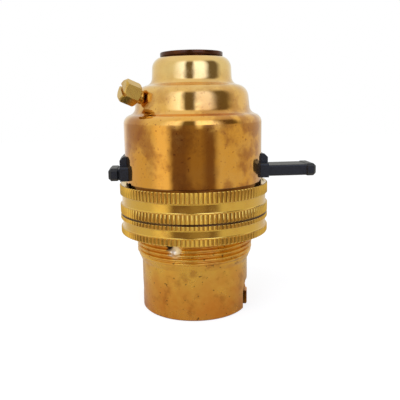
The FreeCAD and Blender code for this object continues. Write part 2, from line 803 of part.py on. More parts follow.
def rocker_bridge():
    """Brass bridge staked to the rocker's top."""
    z0 = pivot_z + seat_h + joint_gap
    plate = block((-bridge_half_l, bridge_half_l), (-bridge_half_w, bridge_half_w), (z0, z0 + bridge_t))
    return at_rest(plate.cut(rod(stake_r + joint_gap, z0 - 1, z0 + bridge_t + 1)))


def rocker_pin():
    return rod_y(pin_r, 0, pivot_z, -cheek_out, cheek_out)


def detent_ball():
    return Part.makeSphere(ball_r, point(0, ball_centre_y(), pivot_z - ball_orbit_r))


def detent_spring():
    spring = coil(ball_r - 2 * detent_wire_r, detent_wire_r, detent_spring_l, detent_turns)
    spring.rotate(ORIGIN, ALONG_X, -90)
    spring.translate(point(0, ball_centre_y() + ball_r + joint_gap, pivot_z - ball_orbit_r))
    return spring


def shifted(shape, y):
    moved = shape.copy()
    moved.translate(point(0, y, 0))
    return moved


def all_pieces():
    guide = bar_guide()
    terminal = terminal_block()
    clamp = terminal_screw()
    return {
        "dome_cover": dome_cover(),
        "entry_bush": entry_bush(),
        "earth_boss": earth_boss(),
        "earth_screw": earth_screw(),
        "bar_guide_right": guide,
        "bar_guide_left": half_turned(guide),
        "push_bar": push_bar(),
        "contact_block": contact_block(),
        "switch_housing": switch_housing(),
        "housing_screws": housing_screws(),
        "terminal_block_line": terminal,
        "terminal_block_neutral": half_turned(terminal),
        "terminal_screw_line": clamp,
        "terminal_screw_neutral": half_turned(clamp),
        "line_contact": line_contact(),
        "switched_contact": switched_contact(),
        "neutral_strip": neutral_strip(),
        "plunger_sleeve_line": shifted(plunger_sleeve(), plunger_y),
        "plunger_sleeve_neutral": shifted(plunger_sleeve(), -plunger_y),
        "plunger_line": shifted(plunger(), plunger_y),
        "plunger_neutral": shifted(plunger(), -plunger_y),
        "plunger_spring_line": shifted(plunger_spring(), plunger_y),
        "plunger_spring_neutral": shifted(plunger_spring(), -plunger_y),
        "rocker": rocker(),
        "rocker_bridge": rocker_bridge(),
        "rocker_pin": rocker_pin(),
        "detent_ball": detent_ball(),
        "detent_spring": detent_spring(),
        "bayonet_skirt": bayonet_skirt(),
        "union_ring": union_ring(),
        "shade_ring": shade_ring(),
    }


os.makedirs("parts", exist_ok=True)
for name, shape in all_pieces().items():
    shape.exportStep("parts/" + name + ".step")
    low, high = shape.BoundBox, shape.BoundBox
    print(name, len(shape.Solids), "solids", shape.isValid(), round(shape.Volume, 2),
          [round(v, 2) for v in (low.XMin, low.YMin, low.ZMin, high.XMax, high.YMax, high.ZMax)])
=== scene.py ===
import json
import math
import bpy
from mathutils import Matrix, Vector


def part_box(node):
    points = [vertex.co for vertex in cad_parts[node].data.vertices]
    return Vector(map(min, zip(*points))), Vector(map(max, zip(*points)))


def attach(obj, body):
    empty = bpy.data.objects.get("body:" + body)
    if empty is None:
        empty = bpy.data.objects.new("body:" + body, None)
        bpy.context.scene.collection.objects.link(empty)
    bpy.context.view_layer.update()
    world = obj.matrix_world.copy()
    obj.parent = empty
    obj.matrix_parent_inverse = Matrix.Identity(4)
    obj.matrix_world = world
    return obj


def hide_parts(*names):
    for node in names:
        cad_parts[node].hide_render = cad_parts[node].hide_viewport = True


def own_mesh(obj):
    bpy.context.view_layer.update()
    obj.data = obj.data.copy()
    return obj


bl_info = {
    "name": "Lamp Holder with Push Switch",
    "version": (1, 0, 0),
    "blender": (4, 5, 0),
    "location": "3D View > Sidebar > Lamp Holder",
    "description": "Surfaces, finishes and a pale studio for a brass lamp holder with a push bar switch",
    "category": "Object",
}

import bpy
import numpy as np
from bpy.props import FloatProperty, FloatVectorProperty, IntProperty, PointerProperty
from mathutils import Quaternion, Vector

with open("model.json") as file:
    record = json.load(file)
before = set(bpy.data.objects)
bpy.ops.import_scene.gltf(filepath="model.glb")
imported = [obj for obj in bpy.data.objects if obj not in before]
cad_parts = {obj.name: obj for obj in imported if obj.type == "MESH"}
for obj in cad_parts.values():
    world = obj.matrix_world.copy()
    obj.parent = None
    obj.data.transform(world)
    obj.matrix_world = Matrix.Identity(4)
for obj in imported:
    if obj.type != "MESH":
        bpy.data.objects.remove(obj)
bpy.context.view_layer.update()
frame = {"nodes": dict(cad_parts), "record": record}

MM = 0.001
TAU = 2 * math.pi
IMAGE_SIZE = 400
STEPS_PER_TOOTH = 8


def linear(hex_code):
    """Linear colour of an sRGB hex code."""
    parts = [int(hex_code[i:i + 2], 16) / 255 for i in (1, 3, 5)]
    return tuple(c / 12.92 if c <= 0.04045 else ((c + 0.055) / 1.055) ** 2.4 for c in parts)


def opaque(shade):
    """Colour with the fourth number that sockets and ramps take."""
    return (*shade, 1.0)


def grey(value):
    return (value, value, value)


def number(name, description, default):
    return FloatProperty(name=name, description=description, default=default)


def rotation(name, description, default_deg):
    return FloatProperty(name=name, description=description, default=math.radians(default_deg),
                         unit="ROTATION")


def length(name, description, default_mm):
    return FloatProperty(name=name, description=description, default=default_mm * MM, min=0.0,
                         unit="LENGTH", precision=5)


def lengths(name, description, defaults_mm):
    return FloatVectorProperty(name=name, description=description, size=len(defaults_mm), unit="LENGTH",
                               precision=5, default=[value * MM for value in defaults_mm])


def colour(name, description, hex_code):
    return FloatVectorProperty(name=name, description=description, size=3, subtype="COLOR", min=0.0, max=1.0,
                               default=linear(hex_code))


class DomeSizes(bpy.types.PropertyGroup):
    """Sizes of the three tiers of the dome and of its openings"""
    wall: length("Wall", "Thickness of the spun sheet", 0.7)
    tier_r: lengths("Tier radii", "Outside radius of each tier's wall, bottom first", (16.1, 13.1, 9.12))
    shoulder_h: lengths("Shoulder heights", "Height of each shoulder's centre over the foot",
                        (17.93, 23.63, 30.23))
    shoulder_r: lengths("Shoulder radii", "Rounding of each tier's shoulder", (2.1, 2.9, 2.65))
    taper: FloatVectorProperty(name="Tapers", description="Lean of each tier's wall", size=3, unit="ROTATION",
                               default=[math.radians(value) for value in (0.0, 6.0, 3.0)])
    cove_r: length("Cove radius", "Rounding where a wall rises from the shoulder below it", 1.8)
    hole_r: length("Entry hole", "Radius of the hole in the crown", 6.95)
    window_half_w: length("Window half width", "Half the width of the push bar's window", 4.44)
    window_low: length("Window sill", "Height of the window's sill over the foot", 5.08)
    window_high: length("Window head", "Height of the window's head over the foot", 8.53)
    slot_w: length("Key slot width", "Width of the slots that the block's lugs enter", 1.5)
    slot_h: length("Key slot height", "Height of the slots over the foot", 4.83)
    slot_angle: rotation("Key slot angle", "Turn of each key slot from the push bar", 22.0)
    amber_h: lengths("Amber heights", "Heights at which the lacquer is palest and most amber", (56.0, 43.0))
    stain: lengths("Stain", "Middle of the red stain on the lowest wall", (-13.6, -8.4, 43.4))
    stain_r: lengths("Stain radii", "Distance to which the stain is full, and its reach", (2.0, 5.5))


class RingSizes(bpy.types.PropertyGroup):
    """Sizes of the two knurled rings"""
    crest_r: length("Crest radius", "Radius over the knurling", 17.55)
    tooth_depth: length("Tooth depth", "Depth of the knurling", 0.3)
    teeth: IntProperty(name="Teeth", description="Number of teeth round a ring", default=112, min=8)
    edge: length("Edge", "Bevel of the outer corners", 0.2)
    joint: lengths("Joint", "Depth and height of the groove under the union ring", (0.55, 0.28))
    cove_depth: length("Cove depth", "Depth of the hollow between the bands", 0.45)
    union_cove: lengths("Union ring cove", "Start over the ring's foot and height of its cove", (2.1, 2.38))
    shade_cove: lengths("Shade ring cove", "Start over the ring's foot and height of its cove", (1.45, 2.05))
    union_bore_r: length("Union ring bore", "Radius that turns on the dome", 16.2)
    union_mouth: lengths("Union ring mouth", "Flare and depth of the mouth's bevel", (1.0, 0.8))
    union_lip: lengths("Union ring lip", "Radius and height of the lip under the flange", (14.05, 0.9))
    shade_bore_r: length("Shade ring bore", "Radius of the bore on the skirt", 13.32)


class ThreadSizes(bpy.types.PropertyGroup):
    """Sizes of the skirt's thread and of the cord entry"""
    root_r: length("Root radius", "Radius at the bottom of the skirt's thread", 13.27)
    crest_r: length("Crest radius", "Radius over the skirt's thread", 13.85)
    pitch: length("Pitch", "24 threads to the inch", 25.4 / 24)
    barrel_r: length("Barrel radius", "Radius of the plain barrel below the thread", 12.8)
    runout_z: length("Run-out height", "Height at which the run-out leaves the barrel", 11.7)
    runout_slope: number("Run-out slope", "Rise of the radius over the height", 0.42)
    crest_flat: number("Crest flat", "Swing of the thread's cosine; over 0.5 it flattens the crest", 0.62)
    thread_top: length("Thread top", "Height of the thread's upper end", 24.4)
    dimple: lengths("Dimple", "Radius of the punch and how far it goes under the crest", (2.2, 1.0))
    dimple_z: length("Dimple height", "Height of the punched dimple", 16.7)
    dimple_angle: rotation("Dimple angle", "Turn of the punched dimple about the axis", -114.0)
    handled_h: lengths("Handled heights", "Heights at which handling shows least and most", (11.0, 3.0))
    bush_bore_r: length("Entry bore", "Crest radius of the cord entry's thread", 5.85)
    bush_depth: length("Entry thread depth", "Depth of the cord entry's thread", 0.5)
    bush_pitch: length("Entry pitch", "26 threads to the inch", 25.4 / 26)
    bush_r: lengths("Bush radii", "Radii of the bush's body, stem and lip", (8.37, 6.9, 7.18))
    bush_h: lengths("Bush heights", "Heights of the body and lip", (5.5, 0.95))
    bush_edge: length("Bush edge", "Rounding of the lip", 0.18)


class FinishColours(bpy.types.PropertyGroup):
    """Colours of the finishes"""
    brass: colour("Lacquered brass", "Spun and lacquered sheet of the dome", "#EDCE86")
    amber: colour("Aged lacquer", "Brass under lacquer that has gone amber", "#EDAC3E")
    tarnish: colour("Tarnish", "Brown oxide under worn lacquer and between the teeth", "#9A5218")
    knurled: colour("Knurled brass", "Turned brass of the rings", "#EAC052")
    worn: colour("Worn brass", "Rubbed brass of the barrel", "#E8B84E")
    worn_stain: colour("Barrel stain", "Orange stain on the barrel", "#D68A30")
    # The dark colour is also the painted shade in the joint between the rings.
    dark: colour("Darkened brass", "Reddish brown of the cord entry, specks and seams", "#4E2A14")
    # The dimple's pale colour is a painted highlight; the black below is painted shade inside the barrel and
    # at the dimple's upper edge.
    dimple_highlight: colour("Bared brass", "Fresh metal of the punched dimple", "#F8E0B4")
    painted_shade: colour("Oxide", "Black oxide inside the barrel and at the dimple's edge", "#2A1A08")
    turned: colour("Turned brass", "Small turned brass parts", "#D6AE52")
    strip: colour("Brass strip", "Rolled contact strip", "#E8C372")
    black: colour("Black moulding", "Black phenolic of the push bar", "#0B0D10")
    brown: colour("Brown moulding", "Brown phenolic of the block and housing", "#4A2B1C")
    steel: colour("Plated steel", "Zinc plated screws", "#B9B8B2")
    dull_steel: colour("Dull steel", "Cloudy places on all the steel", "#898989")
    spring: colour("Spring steel", "Drawn wire and ground pins", "#9C9B98")


class StudioSizes(bpy.types.PropertyGroup):
    """Camera and light of the studio"""
    camera_distance: length("Camera distance", "Camera to the holder's axis", 121.8)
    camera_height: length("Camera height", "Camera over the rim", 48.4)
    camera_azimuth: rotation("Camera azimuth", "Camera's turn about the axis from the front", -5.0)
    camera_pitch: rotation("Camera pitch", "Camera's tilt below the horizon", 10.6)
    camera_roll: rotation("Camera roll", "Camera's roll", 0.97)
    focal_px: number("Focal length", "Focal length in pixels of the image", 512.2)
    axis_px: number("Axis offset", "Pixels from the image's centre to the axis", 6.2)
    lamp_power: FloatProperty(name="Lamp power", description="Power of the soft lamp", unit="POWER",
                              default=0.9)
    lamp_size: length("Lamp size", "Side of the soft lamp", 350.0)
    lamp_place: lengths("Lamp place", "Lamp's distance before, left of and above the foot",
                        (220.0, 120.0, 400.0))
    lamp_aim: length("Lamp aim", "Height on the holder at which the lamp points", 30.0)
    window_gain: number("Window brightness", "Brightness of the room above the horizon", 3.0)
    floor_half: length("Floor half width", "Half the side of the floor", 600.0)
    floor_glow: number("Floor's white", "White that the camera sees of the floor, whatever lights it", 0.8)
    floor_lit: number("Floor's shade", "Paleness of what it also sees of the floor, which takes shadow", 0.24)
    floor_paleness: number("Floor's paleness", "Paleness of the floor that lights the holder", 0.7)
    mirrored_r: length("Mirrored floor", "Radius of the floor that the brass mirrors", 65.0)


def turned_grid(radii, heights, angles):
    """Points of a surface of revolution: each radius and height of the profile is carried round to every
    angle. The radii may also change with the angle, as a table of rows by columns."""
    table = radii if np.ndim(radii) == 2 else np.repeat(np.asarray(radii)[:, None], len(angles), axis=1)
    rise = np.repeat(np.asarray(heights)[:, None], len(angles), axis=1)
    return np.stack([table * np.cos(angles), table * np.sin(angles), rise], axis=-1)


def loop_faces(rows, columns):
    """Faces of a grid that closes on itself both along the profile and round the axis."""
    a = np.arange(rows * columns).reshape(rows, columns)
    b = np.roll(a, -1, axis=1)
    return np.stack([a, b, np.roll(b, -1, axis=0), np.roll(a, -1, axis=0)], axis=-1).reshape(-1, 4)


def shell_faces(kept):
    """Faces of a sheet between an outer grid and the inner grid that follows it in the point list. Cells that
    aren't kept are openings, and each of their borders gets a jamb from the outer skin to the inner."""
    rows, columns = kept.shape[0] + 1, kept.shape[1]
    outer = np.arange(rows * columns).reshape(rows, columns)
    corner = [outer[:-1], np.roll(outer, -1, axis=1)[:-1], np.roll(outer, -1, axis=1)[1:], outer[1:]]
    none = np.zeros((1, columns), bool)
    across = rows * columns
    faces = [np.stack(corner, axis=-1)[kept], np.stack(corner[::-1], axis=-1)[kept] + across]
    beside = [np.vstack([none, kept[:-1]]), np.roll(kept, -1, axis=1), np.vstack([kept[1:], none]),
              np.roll(kept, 1, axis=1)]
    for side, neighbour in enumerate(beside):
        edge = kept & ~neighbour
        start, end = corner[side][edge], corner[(side + 1) % 4][edge]
        faces.append(np.stack([end, start, start + across, end + across], axis=-1))
    return np.concatenate(faces)


def circle(steps):
    """Even angles round the circle."""
    return np.arange(steps) * TAU / steps


def arc(centre, radius, start, end, steps):
    """Radii and heights of a circular arc about a centre in the profile's plane, between two angles."""
    angle = np.linspace(start, end, steps)
    return np.stack([centre[0] + radius * np.cos(angle), centre[1] + radius * np.sin(angle)])


def corners(*points):
    """Radii and heights of an outline's corners."""
    return np.array(points, float).T


def make_piece(name, points, faces, body, slot, nodes=(), sharp_deg=32.0):
    """Makes a mesh object of the points that the faces use, shades it smooth but for its sharp edges, and
    puts it on its body in place of the nodes."""
    points = points.reshape(-1, 3)
    used, faces = np.unique(faces, return_inverse=True)
    faces = faces.reshape(-1, 4)
    mesh = bpy.data.meshes.new(name)
    mesh.vertices.add(len(used))
    mesh.vertices.foreach_set("co", points[used].ravel())
    mesh.loops.add(faces.size)
    mesh.loops.foreach_set("vertex_index", faces.ravel())
    mesh.polygons.add(len(faces))
    mesh.polygons.foreach_set("loop_start", np.arange(0, faces.size, 4))
    mesh.polygons.foreach_set("use_smooth", np.ones(len(faces), bool))
    mesh.update(calc_edges=True)
    mesh.set_sharp_from_angle(angle=math.radians(sharp_deg))
    made = bpy.data.objects.new(name, mesh)
    bpy.context.scene.collection.objects.link(made)
    made.data.materials.append(bpy.data.materials[slot])
    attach(made, body)
    if nodes:
        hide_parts(*nodes)
    return made


def dome_profile(dome, inset):
    """Radii and heights of the dome's skin, moved inwards by the inset. Each tier is a straight wall that
    leans by its taper, a shoulder arc that touches the wall, and a cove arc that touches the shoulder and the
    next wall."""
    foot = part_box("dome_cover")[0].z
    tiers = zip(dome.tier_r, dome.shoulder_h, dome.shoulder_r, dome.taper)
    centres = [(r - round_r / math.cos(taper), foot + h) for r, h, round_r, taper in tiers]
    wall_rows = np.concatenate([[0.0, dome.slot_h, dome.window_low, dome.window_high],
                                np.linspace(dome.window_high, dome.shoulder_h[0], 8)[1:-1]])
    parts = [np.stack([np.full(len(wall_rows), dome.tier_r[0] - inset), foot + wall_rows])]
    for i, (centre, shoulder_r, taper) in enumerate(zip(centres, dome.shoulder_r, dome.taper)):
        if i + 1 == len(centres):
            lean = math.acos((dome.hole_r - centre[0]) / (shoulder_r - inset))
            parts.append(arc(centre, shoulder_r - inset, taper, lean, 12))
            break
        next_taper = dome.taper[i + 1]
        nx, nz = math.cos(next_taper), math.sin(next_taper)
        wall_line = nx * dome.tier_r[i + 1] + nz * (foot + dome.shoulder_h[i + 1]) + dome.cove_r
        off = wall_line - nx * centre[0] - nz * centre[1]
        along = math.sqrt((shoulder_r + dome.cove_r) ** 2 - off ** 2)
        cove = (centre[0] + nx * off - nz * along, centre[1] + nz * off + nx * along)
        lean = math.atan2(cove[1] - centre[1], cove[0] - centre[0])
        parts.append(arc(centre, shoulder_r - inset, taper, lean, 12))
        parts.append(arc(cove, dome.cove_r + inset, lean + math.pi, next_taper + math.pi, 8)[:, 1:])
    return np.concatenate(parts, axis=1)


def divided_circle(steps, edges):
    """Even angles round the circle, without those close to one of the edges, and the edges themselves."""
    even = circle(steps)
    gap = np.abs((even[:, None] - edges[None] + math.pi) % TAU - math.pi).min(axis=1)
    return np.sort(np.concatenate([even[gap > TAU / steps / 3], edges % TAU]))


class LAMP_OT_dome(bpy.types.Operator):
    """Spun dome of three tiers, with windows for the push bar and slots for the block's lugs"""
    bl_idname = "lamp_holder.dome"
    bl_label = "Dome Cover"

    def execute(self, context):
        dome = context.scene.lamp_dome
        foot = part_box("dome_cover")[0].z
        radius = dome.tier_r[0]
        window = math.asin(dome.window_half_w / radius)
        slot = dome.slot_w / 2 / radius
        sides = np.array([0.0, math.pi])
        edges = np.concatenate([sides + turn + half for turn, halves in
                                ((0.0, (-window, window)), (dome.slot_angle, (-slot, slot)),
                                 (-dome.slot_angle, (-slot, slot))) for half in halves])
        angles = divided_circle(240, edges)
        outer, inner = dome_profile(dome, 0.0), dome_profile(dome, dome.wall)
        points = np.concatenate([turned_grid(*outer, angles), turned_grid(*inner, angles)])
        height = (outer[1][:-1] + outer[1][1:])[:, None] / 2 - foot
        middle = angles + (np.roll(angles, -1) - angles) % TAU / 2
        off_bar = np.abs((middle + math.pi / 2) % math.pi - math.pi / 2)[None]
        in_window = (off_bar < window) & (height > dome.window_low) & (height < dome.window_high)
        in_slot = (np.abs(off_bar - dome.slot_angle) < slot) & (height < dome.slot_h)
        in_wall = outer[1][:-1][:, None] < foot + dome.shoulder_h[0]
        kept = ~((in_window | in_slot) & in_wall)
        make_piece("dome_cover_spun", points, shell_faces(kept), "holder", "brass_spun", ["dome_cover"])
        return {"FINISHED"}


def tooth_radius(rings, angles):
    """Radius of the knurling at each angle: a crest each tooth, falling by the tooth's depth to a rounded
    valley as a raised cosine, whose power of 0.8 narrows the crests."""
    wave = 0.5 - 0.5 * np.cos(angles * rings.teeth)
    return rings.crest_r - rings.tooth_depth * wave ** 0.8


def ring_side(rings, low, high, cove):
    """Outer side of a ring from its foot to its top: bevel, band, cove, band, bevel. The cove's depth falls
    off with the sixteenth power of the height from its middle, so it has a straight floor and rounded
    sides."""
    step = rings.edge / 4
    face, depth = rings.crest_r + step, rings.cove_depth + step
    start, end = low + cove[0], low + cove[0] + cove[1]
    place = np.sin(np.linspace(-math.pi / 2, math.pi / 2, 22))
    hollow = np.stack([face - depth * (1 - place ** 16), (start + end) / 2 + place * cove[1] / 2])
    below = corners(*[(face - rings.edge + step * i, low + step * i) for i in range(5)], (face, start))
    above = corners((face, end), *[(face - step * i, high - rings.edge + step * i) for i in range(5)])
    return np.concatenate([below, hollow[:, 1:-1], above], axis=1)


def knurled_piece(rings, name, profile, node):
    """Closed turning whose radius at each angle is the lesser of its profile and the knurling."""
    angles = circle(rings.teeth * STEPS_PER_TOOTH)
    radii = np.minimum(profile[0][:, None], tooth_radius(rings, angles)[None])
    points = turned_grid(radii, profile[1], angles)
    make_piece(name, points, loop_faces(*radii.shape), node, "brass_knurled", [node], 50.0)


class LAMP_OT_rings(bpy.types.Operator):
    """Union ring on the dome and shade ring on the skirt, each with two knurled bands and a cove, and the
    groove between them"""
    bl_idname = "lamp_holder.rings"
    bl_label = "Knurled Rings"

    def execute(self, context):
        rings = context.scene.lamp_rings
        low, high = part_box("union_ring")[0].z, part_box("union_ring")[1].z
        flare, drop = rings.union_mouth
        lip_r, lip_h = rings.union_lip
        bore = rings.union_bore_r
        inside = corners((bore + flare, high), (bore, high - drop), (bore, low + lip_h), (lip_r, low + lip_h),
                         (lip_r, low))
        side = ring_side(rings, low, high, rings.union_cove)
        knurled_piece(rings, "union_ring_knurled", np.concatenate([side, inside], axis=1), "union_ring")
        low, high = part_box("shade_ring")[0].z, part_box("shade_ring")[1].z
        inside = corners((rings.shade_bore_r, high), (rings.shade_bore_r, low))
        depth, rise = rings.joint
        side = ring_side(rings, low, high - rise, rings.shade_cove)
        groove = corners((rings.crest_r - depth, high - rise), (rings.crest_r - depth, high))
        profile = np.concatenate([side, groove, inside], axis=1)
        knurled_piece(rings, "shade_ring_knurled", profile, "shade_ring")
        return {"FINISHED"}


class LAMP_OT_threads(bpy.types.Operator):
    """Thread on the skirt, and the cord entry's bush with its inner thread"""
    bl_idname = "lamp_holder.threads"
    bl_label = "Threads"

    def execute(self, context):
        sizes = context.scene.lamp_threads
        self.skirt_thread(sizes)
        self.entry_bush(sizes)
        return {"FINISHED"}

    def skirt_thread(self, sizes):
        """Radius rises from the root to the crest and back once a pitch along a helix, as a cosine that is
        cut off at the crest, under a run-out cone. The dimple is where a sphere outside the thread reaches
        below it."""
        angles = circle(180)
        start = sizes.runout_z + (sizes.root_r - sizes.barrel_r) / sizes.runout_slope
        heights = np.linspace(start, sizes.thread_top, 130)
        rows = heights[:, None]
        phase = (rows / sizes.pitch - angles[None] / TAU) * TAU
        cone = sizes.barrel_r + sizes.runout_slope * (rows - sizes.runout_z)
        crest = np.clip(np.minimum(cone, sizes.crest_r), sizes.root_r, None)
        ridge = np.clip(sizes.crest_flat + sizes.crest_flat * np.cos(phase), 0.0, 1.0)
        radii = sizes.root_r + (crest - sizes.root_r) * ridge
        punch_r, punch_in = sizes.dimple
        centre_r = sizes.crest_r - punch_in + punch_r
        around = ((angles - sizes.dimple_angle + math.pi) % TAU - math.pi)[None] * sizes.crest_r
        reach = punch_r ** 2 - around ** 2 - (rows - sizes.dimple_z) ** 2
        radii = np.where(reach > 0, np.minimum(radii, centre_r - np.sqrt(np.clip(reach, 0, None))), radii)
        inside_wall = np.full((2, len(angles)), sizes.barrel_r - 0.1 * MM)
        radii = np.concatenate([radii, inside_wall])
        heights = np.concatenate([heights, [sizes.thread_top, start]])
        points = turned_grid(radii, heights, angles)
        make_piece("skirt_thread", points, loop_faces(*radii.shape), "skirt", "brass_barrel", (), 60.0)

    def entry_bush(self, sizes):
        """Turned bush whose bore falls from the crest by the thread's depth once a pitch along a helix."""
        angles = circle(128)
        low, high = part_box("entry_bush")[0].z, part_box("entry_bush")[1].z
        body_r, stem_r, lip_r = sizes.bush_r
        body_h, lip_h = sizes.bush_h
        edge = sizes.bush_edge
        outside = np.concatenate([
            corners((sizes.bush_bore_r + edge, low), (body_r - edge, low), (body_r, low + edge),
                    (body_r, low + body_h), (stem_r, low + body_h), (stem_r, high - lip_h)),
            arc((lip_r - edge, high - lip_h + edge), edge, -math.pi / 2, 0, 5),
            arc((lip_r - edge, high - edge), edge, 0, math.pi / 2, 5),
            arc((sizes.bush_bore_r + edge, high - edge), edge, math.pi / 2, math.pi, 4)[:, :-1]], axis=1)
        rows = np.linspace(high - edge, low + edge, 110)
        phase = (rows[:, None] / sizes.bush_pitch - angles[None] / TAU) * TAU
        fade = np.clip(np.minimum(high - edge - rows, rows - low - edge) / sizes.bush_pitch, 0, 1)[:, None]
        bore = sizes.bush_bore_r + sizes.bush_depth * fade * (0.5 - 0.5 * np.cos(phase))
        radii = np.concatenate([np.repeat(outside[0][:, None], len(angles), axis=1), bore])
        heights = np.concatenate([outside[1], rows])
        points = turned_grid(radii, heights, angles)
        make_piece("entry_bush_threaded", points, loop_faces(*radii.shape), "holder", "brass_dark",
                   ["entry_bush"], 50.0)


class LAMP_OT_springs(bpy.types.Operator):
    """Gives each plunger spring a mesh of its own."""
    bl_idname = "lamp_holder.springs"
    bl_label = "Plunger Springs"

    def execute(self, context):
        for side in ("line", "neutral"):
            name = "plunger_spring_" + side
            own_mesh(frame["nodes"][name])
        return {"FINISHED"}


def node(tree, kind, settings=(), inputs=(), stops=()):
    """Adds a node with its settings, its inputs set or linked by name or place, and a ramp's stops."""
    made = tree.nodes.new(kind)
    for key, value in dict(settings).items():
        setattr(made, key, value)
    for key, value in dict(inputs).items():
        if isinstance(value, bpy.types.NodeSocket):
            tree.links.new(value, made.inputs[key])
        else:
            made.inputs[key].default_value = value
    if stops:
        ramp = made.color_ramp
        while len(ramp.elements) < len(stops):
            ramp.elements.new(1.0)
        for element, (place, shade) in zip(ramp.elements, stops):
            element.position = place
            element.color = opaque(shade)
    return made


def new_material(name, base, metallic, roughness, coat=0.0):
    """Gives the slot's material one shader in place of the frame's plain one. Returns its tree, the shader
    and the place on the piece in the object's own coordinates."""
    material = bpy.data.materials.get(name) or bpy.data.materials.new(name)
    material.use_nodes = True
    tree = material.node_tree
    tree.nodes.clear()
    shader = node(tree, "ShaderNodeBsdfPrincipled", (), {
        "Base Color": opaque(base), "Metallic": metallic, "Roughness": roughness, "Coat Weight": coat,
        "Coat Roughness": 0.06})
    node(tree, "ShaderNodeOutputMaterial", (), {"Surface": shader.outputs["BSDF"]})
    place = node(tree, "ShaderNodeTexCoord").outputs["Object"]
    return tree, shader, place


def per_mm(size_mm):
    """Texture scale at which one feature measures the given millimetres."""
    return 1 / (size_mm * MM)


def blotches(tree, place, size_mm, low, high, detail=3.0):
    """Share of a stain at each point: 0 where the noise is under the low mark, 1 above the high one."""
    noise = node(tree, "ShaderNodeTexNoise", {}, {
        "Vector": place, "Scale": per_mm(size_mm), "Detail": detail, "Roughness": 0.6})
    return node(tree, "ShaderNodeMapRange", {"interpolation_type": "SMOOTHSTEP"}, {
        "Value": noise.outputs[0], "From Min": low, "From Max": high}).outputs[0]


def laid(tree, under, over, share, *strengths):
    """Colour of one layer with another laid over it by a share, which each of the strengths scales. The mix
    node keeps its colours at inputs 6 and 7 and at output 2."""
    for strength in strengths:
        share = node(tree, "ShaderNodeMath", {"operation": "MULTIPLY"}, {0: share, 1: strength}).outputs[0]
    first, second = [shade if isinstance(shade, bpy.types.NodeSocket) else opaque(shade)
                     for shade in (under, over)]
    return node(tree, "ShaderNodeMix", {"data_type": "RGBA"}, {0: share, 6: first, 7: second}).outputs[2]


def roughened(tree, shader, pattern, low, high):
    """Makes the finish duller where the pattern is strong, between two roughnesses."""
    spread = node(tree, "ShaderNodeMapRange", {}, {"Value": pattern, "To Min": low, "To Max": high})
    tree.links.new(spread.outputs[0], shader.inputs["Roughness"])


def bumped(tree, shader, relief, depth_mm):
    """Raises the finish by the relief, to the given depth."""
    bump = node(tree, "ShaderNodeBump", {}, {"Height": relief, "Distance": depth_mm * MM, "Strength": 1.0})
    tree.links.new(bump.outputs[0], shader.inputs["Normal"])


def near(tree, place, middle, full, none):
    """1 up to the full distance from a point, falling to 0 at the other distance."""
    away = node(tree, "ShaderNodeVectorMath", {"operation": "DISTANCE"}, {0: place, 1: tuple(middle)})
    return node(tree, "ShaderNodeMapRange", {"interpolation_type": "SMOOTHSTEP"}, {
        "Value": away.outputs["Value"], "From Min": none, "From Max": full}).outputs[0]


def spun_brass(finish, dome):
    """Brass sheet, spun and lacquered. Mirror gold, amber towards the foot where the lacquer is oldest, with
    brown clouds and a red stain where it has let air in, a dark band on the dome just above the ring and faint
    spinning lines. The lines are drawn 0.5 mm wide, coarser than real ones, so that they show."""
    tree, shader, place = new_material("brass_spun", finish.brass, 1.0, 0.1, 0.5)
    height = node(tree, "ShaderNodeSeparateXYZ", {}, {0: place}).outputs["Z"]
    palest, amber = dome.amber_h
    old = node(tree, "ShaderNodeMapRange", {}, {
        "Value": height, "From Min": palest, "From Max": amber, "To Min": 0.1, "To Max": 0.85}).outputs[0]
    patches = blotches(tree, place, 9.0, 0.35, 0.65)
    aged = node(tree, "ShaderNodeMath", {"operation": "MULTIPLY_ADD"}, {
        0: patches, 1: 0.2, 2: old}).outputs[0]
    clouds = blotches(tree, place, 7.0, 0.47, 0.64, 4.0)
    freckles = blotches(tree, place, 0.7, 0.64, 0.76, 1.0)
    stained = near(tree, place, dome.stain, *dome.stain_r)
    seam = height_band(tree, place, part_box("union_ring")[1].z, 0.25, 0.55)
    tint = laid(tree, finish.brass, finish.amber, aged)
    tint = laid(tree, tint, finish.tarnish, clouds, 0.75, old)
    tint = laid(tree, tint, finish.tarnish, freckles, 0.7, old)
    tint = laid(tree, tint, finish.tarnish, stained, 0.7)
    tint = laid(tree, tint, finish.dark, seam, 0.85)
    tree.links.new(tint, shader.inputs["Base Color"])
    drawn_out = node(tree, "ShaderNodeMapping", {}, {"Vector": place, "Scale": (0.03, 0.03, 1.0)}).outputs[0]
    lines = node(tree, "ShaderNodeTexNoise", {}, {
        "Vector": drawn_out, "Scale": per_mm(0.5), "Detail": 2.0}).outputs[0]
    waves = node(tree, "ShaderNodeTexNoise", {}, {
        "Vector": place, "Scale": per_mm(5.0), "Detail": 2.0}).outputs[0]
    relief = node(tree, "ShaderNodeMath", {"operation": "MULTIPLY_ADD"}, {
        0: lines, 1: 0.02, 2: waves}).outputs[0]
    roughened(tree, shader, clouds, 0.09, 0.20)
    bumped(tree, shader, relief, 0.12)


def radius_share(tree, place, stops):
    """Value of a ramp over the distance from the holder's axis, from 10 mm to 20 mm."""
    flat = node(tree, "ShaderNodeVectorMath", {"operation": "MULTIPLY"}, {
        0: place, 1: (1.0, 1.0, 0.0)}).outputs[0]
    distance = node(tree, "ShaderNodeVectorMath", {"operation": "LENGTH"}, {0: flat}).outputs["Value"]
    share = node(tree, "ShaderNodeMapRange", {}, {
        "Value": distance, "From Min": 10 * MM, "From Max": 20 * MM}).outputs[0]
    return node(tree, "ShaderNodeValToRGB", {}, {"Fac": share},
                [((radius_mm - 10) / 10, grey(value)) for radius_mm, value in stops]).outputs[0]


